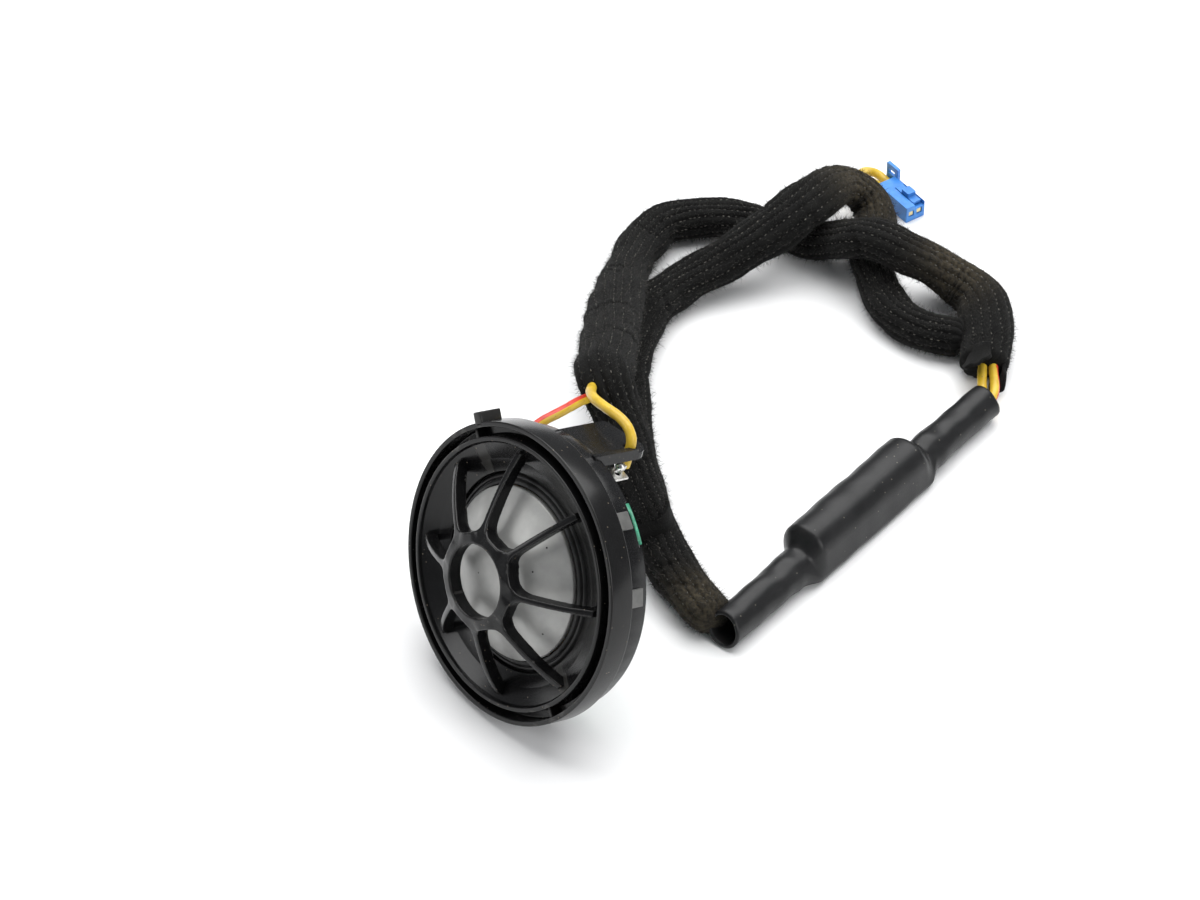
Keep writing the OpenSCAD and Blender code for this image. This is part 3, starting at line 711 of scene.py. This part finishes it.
def spider():
    """The spider as a closed solid, remeshed so that its edges and fillets are soft."""
    bm = bmesh.new()
    loops = [spider_outline(), [(RING_HOLE * math.cos(a), RING_HOLE * math.sin(a))
                                for a in np.linspace(0, 2 * math.pi, 72, endpoint=False)]]
    for depth in (0.0, 2.25):
        edges = []
        for loop in loops:
            verts = [bm.verts.new((x, y, spider_height(x, y) - depth)) for x, y in loop]
            edges += [bm.edges.new((v, verts[(i + 1) % len(verts)])) for i, v in enumerate(verts)]
        bmesh.ops.triangle_fill(bm, edges=edges, use_beauty=True)
    bm.verts.ensure_lookup_table()
    total = sum(len(loop) for loop in loops)
    start = 0
    for loop in loops:
        for i in range(len(loop)):
            a, b = start + i, start + (i + 1) % len(loop)
            bm.faces.new([bm.verts[k] for k in (a, b, b + total, a + total)])
        start += len(loop)
    bmesh.ops.recalc_face_normals(bm, faces=bm.faces)
    mesh = bpy.data.meshes.new("spider")
    bm.to_mesh(mesh)
    bm.free()
    obj = bpy.data.objects.new("spider", mesh)
    bpy.context.scene.collection.objects.link(obj)
    modifier(obj, "REMESH", mode="VOXEL", voxel_size=0.14, use_smooth_shade=True)
    modifier(obj, "SMOOTH", factor=0.5, iterations=9)
    return apply_modifiers(obj)


FRONT_PROFILE = [(14.6, -1.9), (16.6, -1.25), (19.0, -0.2), (19.25, 0.3), (19.9, 0.3), (19.9, -2.6),
                 (21.2, -2.6), (21.2, 0.0), (22.0, 0.0), (22.0, -4.0), (18.9, -4.0), (18.3, -2.2),
                 (14.6, -2.7)]


def grille():
    """The front moulding: rim, groove, lip and funnel as one turned solid, with bridges, key and spider."""
    front = lathe("grille_moulding", rounded(FRONT_PROFILE, 0.22, 4), MATERIALS["moulding"], 288, True,
                  Matrix.Scale(MM, 4).inverted())
    parts = [front, spider()]
    for i in range(4):
        parts.append(block((19.75, -0.32, -2.7), (21.35, 0.32, -1.15), 45 + 90 * i, 0.12))
    parts.append(block((21.4, -0.85, -3.9), (23.5, 0.85, 0.0), 90 + 39, 0.22))
    for p in parts[1:]:
        p.data.materials.clear()
        p.data.materials.append(MATERIALS["moulding"])
        p.data.shade_smooth()
    obj = joined(parts)
    obj.data.transform(Matrix.Scale(MM, 4))
    obj.data.transform(SEAT)
    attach(obj, "root")
    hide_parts("front_grille")
    return obj


def block(low, high, turn, radius):
    """A box between two corners in millimetres, turned about the axis, its edges rounded."""
    bm = bmesh.new()
    bmesh.ops.create_cube(bm, size=1)
    for v in bm.verts:
        v.co = Vector([(a + b) / 2 + c * (b - a) for a, b, c in zip(low, high, v.co)])
    bmesh.ops.bevel(bm, geom=bm.edges, offset=radius, segments=3, profile=0.5, affect="EDGES")
    bmesh.ops.rotate(bm, verts=bm.verts, matrix=Matrix.Rotation(math.radians(turn), 3, "Z"))
    mesh = bpy.data.meshes.new("block")
    bm.to_mesh(mesh)
    bm.free()
    obj = bpy.data.objects.new("block", mesh)
    bpy.context.scene.collection.objects.link(obj)
    return obj


def joined(parts):
    with bpy.context.temp_override(active_object=parts[0], selected_editable_objects=parts):
        bpy.ops.object.join()
    return parts[0]


# Diaphragm
def dome():
    """The dome as one smooth cap with its short skirt."""
    foot, high, thick, low = 12.7, 4.4, 0.25, -1.2
    ball = (foot ** 2 + high ** 2) / (2 * high)
    centre, edge = low + high - ball, math.asin(foot / ball)
    angles = np.linspace(0.0008, edge, 60)
    outer = [(ball * math.sin(a), centre + ball * math.cos(a)) for a in angles]
    hollow = ball - thick
    inner = [(hollow * math.sin(a), centre + hollow * math.cos(a)) for a in angles[::-1] * 0.98]
    profile = outer + [(foot, low - 0.1), (foot, low - 0.7), (12.45, low - 0.7)] + inner
    obj = lathe("dome", profile, MATERIALS["dome"], 192)
    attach(obj, "coil_assembly")
    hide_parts("dome_diaphragm")
    return obj


def surround():
    """The rolled surround: fine concentric ridges between the clamped flange and the dome's foot."""
    top = [(16.6, -3.15), (15.4, -3.15), (14.55, -3.1), (14.35, -2.6), (14.1, -2.1), (13.85, -2.0),
           (13.62, -2.3), (13.4, -1.8), (13.1, -1.66), (12.85, -1.75), (12.76, -1.95)]
    fine = smooth_path([(r, 0, z) for r, z in top], 0.06, 0.0)[:, (0, 2)] / MM
    profile = [tuple(p) for p in fine] + [(r, z - 0.22) for r, z in fine[::-1]]
    obj = lathe("surround_roll", profile, MATERIALS["surround"], 192, True)
    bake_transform(obj)
    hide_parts("surround")
    return obj


# Shrink sleeve
def eased(x, start, end):
    t = np.clip((x - start) / (end - start), 0, 1)
    return t * t * (3 - 2 * t)


def sleeve_circles(x):
    """The two circles that the sleeve's section wraps at x: over the capacitor, and over the second wire."""
    low, high = CAP_START - 1.6, CAP_START + CAP_LEN + 0.6
    big = eased(x, low - 1.8, low + 0.8) * (1 - eased(x, high - 0.4, high + 2.2))
    small = eased(x, low - 4.2, low - 0.5) * (1 - eased(x, high + 0.6, high + 3.6))
    a = (0.25 + (CAP_SIDE - 0.25) * big, 3.05 + 0.95 * big, 2.62 + 1.38 * big)
    b = (-0.3 + (BYPASS_SIDE + 0.3) * small, 2.75 - 1.4 * small, 2.42 - 1.12 * small)
    return a, b


def wrapped(a, b, around):
    """Points of the tight loop round two circles, (across, up, radius) each."""
    dy, dz = a[0] - b[0], a[1] - b[1]
    gap = math.hypot(dy, dz)
    lean, open_ = math.atan2(dz, dy), math.acos(np.clip((b[2] - a[2]) / gap, -1, 1))
    first, flat = around * 5 // 9, 4
    second = around - first - 2 * flat
    on_a = [(a[0] + a[2] * math.cos(t), a[1] + a[2] * math.sin(t))
            for t in np.linspace(lean - open_, lean + open_, first)]
    on_b = [(b[0] + b[2] * math.cos(t), b[1] + b[2] * math.sin(t))
            for t in np.linspace(lean + open_, lean - open_ + 2 * math.pi, second)]
    between = [tuple((1 - t) * np.array(p) + t * np.array(q)) for t in np.arange(1, flat + 1) / (flat + 1)
               for p, q in [(on_a[-1], on_b[0])]]
    back = [tuple((1 - t) * np.array(p) + t * np.array(q)) for t in np.arange(1, flat + 1) / (flat + 1)
            for p, q in [(on_b[-1], on_a[0])]]
    return np.array(on_a + between + on_b + back)


def sleeve_rings(x, around):
    """The tube's outline at each x along it: lumpy at the narrow ends, bulging beside the capacitor."""
    rng = np.random.default_rng(31)
    low, high = CAP_START, CAP_START + CAP_LEN
    phase = rng.uniform(0, 6.28, (6, 3))
    waves = ((1.7, 1), (2.9, 2), (1.1, 2), (4.0, 1), (0.8, 3), (2.2, 3))
    angles = np.arange(around) / around * 2 * math.pi
    rings = []
    for at in x:
        a, b = sleeve_circles(at)
        loop = wrapped(a, b, around)
        middle = loop.mean(0)
        narrow = 1 - eased(at, low - 4, low) * (1 - eased(at, high, high + 4))
        swell = sum(np.sin(at / w + p[0]) * np.cos(n * angles + p[1]) for (w, n), p in zip(waves, phase))
        near_bulge = 0.07 * math.exp(-((at - low + 6) / 1.4) ** 2)
        far_bulge = 0.08 * math.exp(-((at - high - 5.4) / 1.6) ** 2)
        grown = 1 + (0.007 + 0.010 * narrow) * swell[:, None] + near_bulge + far_bulge
        rings.append(middle + (loop - middle) * grown)
    return np.array(rings)


def shrunk(ring, share):
    return ring + (ring.mean(0) - ring) * share


def sleeve():
    """The shrunk tube: narrow lumpy ends, stepped shoulders, and a middle drawn taut round its contents."""
    start, end = np.array(SLEEVE_FROM, float), np.array(SLEEVE_TO, float)
    length = np.linalg.norm(end - start)
    way = (end - start) / length
    across = np.array([-way[1], way[0]])
    around, near_depth, far_depth = 90, 28, 20
    x = np.arange(0, length + 0.01, 0.35)
    outer = sleeve_rings(x, around)
    order = [shrunk(ring, 0.2) for ring in outer[:near_depth][::-1]]
    order += [shrunk(outer[0], f) for f in (0.19, 0.10)]
    order += list(outer) + [shrunk(outer[-1], f) for f in (0.10, 0.19)]
    order += [shrunk(ring, 0.2) for ring in outer[::-1][:far_depth]]
    places = list(x[:near_depth][::-1]) + [-0.10, -0.16] + list(x) + [length + 0.16, length + 0.10]
    places += list(x[::-1][:far_depth])
    points = []
    for at, loop in zip(places, order):
        for side, up in loop:
            lean = (1 - min(1, max(at, 0) / 6)) * (up - 3.0) * 0.32
            ground = start + way * (at + lean) + across * side
            points.append((ground[0] * MM, ground[1] * MM, max(up, 0.02) * MM))
    obj = piece("shrink_sleeve", points, ring_faces(len(order), around), MATERIALS["shrink"])
    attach(obj, "root")
    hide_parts("heat_shrink_sleeve")
    return obj


def on_sleeve(points):
    """Turns points drawn along the sleeve (along, across, up) into the row frame, in millimetres."""
    start, end = np.array(SLEEVE_FROM, float), np.array(SLEEVE_TO, float)
    way = (end - start) / np.linalg.norm(end - start)
    return [(start[0] + way[0] * x - way[1] * y, start[1] + way[1] * x + way[0] * y, z)
            for x, y, z in points]


def bypass():
    low, high = CAP_START, CAP_START + CAP_LEN
    line = [(3, -0.9, 2.4), (9, -1.2, 2.2), (low - 6, -1.2, 2.1), (low - 3.5, -1.6, 1.9),
            (low - 1, BYPASS_SIDE + 0.1, BYPASS_Z + 0.1), (low + 1, BYPASS_SIDE, BYPASS_Z),
            (high - 1, BYPASS_SIDE, BYPASS_Z), (high + 1, BYPASS_SIDE + 0.1, BYPASS_Z + 0.1),
            (high + 3.5, -1.6, 1.9), (60, -0.9, 2.5)]
    wire("bypass_core", "bypass_wire", on_sleeve(line), 9, radius=0.65)


# Solder and tinsel
def seated_point(x, y, z):
    return SEAT @ (Vector((x, y, z)) * MM)


def solder_blob(name, at, size, seed):
    """A solder bead: a smooth uneven drop that clings to its lug."""
    bm = bmesh.new()
    bmesh.ops.create_icosphere(bm, subdivisions=5, radius=1)
    rng = np.random.default_rng(seed)
    waves = [(Vector(rng.normal(0, 1, 3)), rng.uniform(1.4, 3.2), rng.uniform(0, 6.28)) for _ in range(6)]
    for v in bm.verts:
        swell = sum(math.sin(v.co.dot(d) * f + p) for d, f, p in waves)
        v.co = SEAT.to_3x3() @ (Vector([c * s for c, s in zip(v.co, size)]) * MM) * (1 + 0.05 * swell)
        v.co += seated_point(*at)
    mesh = bpy.data.meshes.new(name)
    bm.to_mesh(mesh)
    bm.free()
    mesh.materials.append(MATERIALS["solder"])
    mesh.shade_smooth()
    obj = bpy.data.objects.new(name, mesh)
    bpy.context.scene.collection.objects.link(obj)
    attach(obj, "root")
    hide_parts("solder_joints")
    return obj


def turned(x, y, z, angle):
    c, s = math.cos(math.radians(angle)), math.sin(math.radians(angle))
    return (x * c - y * s, x * s + y * c, z)


def tinsel():
    """The coil's braided leads, from its former over the frame to the board."""
    line = [(0, 13.1, -3.4), (0, 13.7, -4.6), (0, 14.6, -5.1), (0, 16, -5.2), (0, 17.1, -5.5),
            (0, 17.6, -6.2), (0, 17.6, -7.2)]
    for i, angle in enumerate((-12, 24)):
        route = [tuple(seated_point(*turned(*p, angle)) / MM) for p in line]
        obj, _ = tube(f"tinsel_{i + 1}", route, 0.2, MATERIALS["copper"], 12, 0.2, 0.12, 40 + i)
        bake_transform(obj)
        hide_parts("coil_tinsel_leads")


def soft_ring(name, node, material, r_in, r_out, low, high, seed):
    """A foam or felt piece turned about the axis, crowned a little between its edges."""
    crown = 0.06
    corners = [(r_in, low), (r_out, low), (r_out, high), ((r_in + r_out) / 2, high + crown), (r_in, high)]
    profile = smooth_path([(r, 0, z) for r, z in rounded(corners, 0.2, 3)], 0.2, 0.0)[:, (0, 2)] / MM
    obj = lathe(name, profile, MATERIALS[material], 160, r_in > 0.1)
    rng = np.random.default_rng(seed)
    for v in obj.data.vertices:
        v.co += Vector(rng.normal(0, 0.012 * MM, 3))
    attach(obj, "root")
    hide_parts(node)
    return obj


# CAD nodes that keep their shape
KEPT = {
    "rear_housing": "housing", "housing_clips": "clip", "terminal_board": "board", "plus_lug": "tinned",
    "minus_lug": "tinned", "lug_rivets": "rivet", "diaphragm_frame": "frame", "voice_coil_former": "kapton",
    "voice_coil_winding": "copper", "pole_cap": "steel", "magnet": "magnet", "top_plate": "steel",
    "motor_cup": "steel", "crossover_capacitor": "capacitor", "capacitor_leads": "tinned",
    "crimp_splices": "tinned", "connector_housing": "blue", "connector_latch": "blue",
    "connector_lock": "shaded_blue", "connector_contacts": "rivet"}
SOFTENED = {"rear_housing": 0.14, "housing_clips": 0.10, "motor_cup": 0.35, "connector_housing": 0.13,
            "connector_latch": 0.10, "connector_lock": 0.08, "plus_lug": 0.05, "minus_lug": 0.05,
            "lug_rivets": 0.10, "crossover_capacitor": 0.5, "top_plate": 0.1, "terminal_board": 0.06}


def dress_kept():
    """Gives each kept CAD node its finish, and rounds the moulded edges."""
    for name, material in KEPT.items():
        obj = frame["nodes"][name]
        for slot in range(max(1, len(obj.data.materials))):
            if len(obj.data.materials):
                obj.data.materials[slot] = MATERIALS[material]
            else:
                obj.data.materials.append(MATERIALS[material])
        if name in SOFTENED:
            modifier(obj, "WELD", merge_threshold=0.000001)
            modifier(obj, "BEVEL", width=SOFTENED[name] * MM, segments=3, limit_method="ANGLE",
                     angle_limit=math.radians(40), harden_normals=True)


# Camera, floor and light
def camera():
    data = bpy.data.cameras.new("camera")
    data.lens, data.sensor_width = LENS, 36
    data.clip_start, data.clip_end = 0.01, 20
    obj = bpy.data.objects.new("camera", data)
    a, e = math.radians(AZIMUTH), math.radians(ELEVATION)
    back = Vector((math.sin(a) * math.cos(e), -math.cos(a) * math.cos(e), math.sin(e)))
    obj.location = TARGET + back * DISTANCE
    obj.rotation_mode = "QUATERNION"
    obj.rotation_quaternion = (-back).to_track_quat("-Z", "Y")
    bpy.context.scene.collection.objects.link(obj)
    bpy.context.scene.camera = obj


def floor():
    """A wide sheet of pale paper that the tweeter and its lead stand on."""
    bm = bmesh.new()
    bmesh.ops.create_grid(bm, x_segments=24, y_segments=24, size=3)
    mesh = bpy.data.meshes.new("paper")
    bm.to_mesh(mesh)
    bm.free()
    mesh.materials.append(MATERIALS["floor"])
    obj = bpy.data.objects.new("paper", mesh)
    bpy.context.scene.collection.objects.link(obj)


def softbox(name, place, aim, size, power):
    data = bpy.data.lights.new(name, "AREA")
    data.shape, data.size, data.size_y, data.energy = "RECTANGLE", size[0], size[1], power
    obj = bpy.data.objects.new(name, data)
    obj.location = place
    obj.rotation_mode = "QUATERNION"
    obj.rotation_quaternion = (Vector(aim) - Vector(place)).to_track_quat("-Z", "Y")
    bpy.context.scene.collection.objects.link(obj)


def lights():
    world = bpy.data.worlds.new("studio")
    bpy.context.scene.world = world
    world.use_nodes = True
    world.node_tree.nodes["Background"].inputs["Color"].default_value = (0.93, 0.96, 1, 1)
    world.node_tree.nodes["Background"].inputs["Strength"].default_value = 0.30
    softbox("overhead", (-0.25, 0.35, 0.95), (0, 0.04, 0.02), (1.5, 1.2), 22)
    softbox("right", (1.0, 0.25, 0.55), (0, 0.02, 0.02), (0.5, 0.6), 5)
    softbox("front", (-0.5, -0.9, 0.6), (0, 0, 0.02), (0.5, 0.4), 3)


# Assembly
def lay_leads():
    """The two taped runs of the lead, with their stitches and fibres."""
    dusty = [((-47.5, 101, 9), 6.5), ((-25, 101, 7.5), 6.0), ((7, 21.5, 4), 5.0)]
    runs = [("taped_lead_tweeter", "tweeter_lead", TWEETER_ROUTE, TWEETER_FORM, 5, (0.4, 1.1)),
            ("taped_lead_connector", "connector_lead", CONNECTOR_ROUTE, CONNECTOR_FORM, 8, (1.9, -0.8))]
    made = []
    for name, node, route, form, seed, turn in runs:
        obj, path, points, drift = fleece_lead(name, route, form, seed, turn, dusty)
        thread = stitches(name + "_stitches", points, drift, seed + 1)
        fuzz = fibres(name + "_fibres", points, 19500, seed + 2)
        for o in (obj, thread, fuzz):
            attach(o, "root")
        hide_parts(node)
        made.append((obj, path, [thread, fuzz]))
    ends = made[0][1]
    made[0][2].append(flaps("tape_flaps", ends, [(0.35, 1.75, 3.6, 0.9), (3.0, 4.35, 3.0, 0.5)], 15))
    made[0][2].append(flaps("tape_tail", ends[::-1], [(0.3, 2.7, 2.2, 0.5), (3.3, 5.7, 3.0, 0.4)], 16))
    return made


camera()
LEADS = lay_leads()
wire("wire_plain", "plain_wire", PLAIN_ROUTE, 3, soften=0.5)
wire("wire_striped", "striped_wire", STRIPED_ROUTE, 4, (0.25, 0.0), soften=0.5)
FAR = [wire(f"wire_sleeve_{i + 1}", "sleeve_wires", route, 11 + i, [(0.30, 0.1), None][i])[0]
       for i, route in enumerate(SLEEVE_WIRE_ROUTES)]
TO_PLUG = [wire(f"wire_plug_{i + 1}", "plug_wires", route, 21 + i, soften=0.35)[0]
           for i, route in enumerate(PLUG_WIRE_ROUTES)]
SLEEVE = sleeve()
bypass()
grille()
dome()
surround()
tinsel()
solder_blob("solder_plus", (2.9, 17.9, -13), (0.86, 0.72, 0.95), 51)
solder_blob("solder_minus", turned(-0.5, 18, -9.8, 19), (0.8, 0.7, 0.9), 52)
soft_ring("gasket_foam", "foam_gasket", "foam", 15.2, 18.2, -3.15, -2.7, 61)
soft_ring("pad_felt", "damping_pad", "felt", 0.01, 9.5, -5.8, -5.0, 62)
dress_kept()
floor()
lights()
bpy.context.scene.view_settings.view_transform = "Standard"
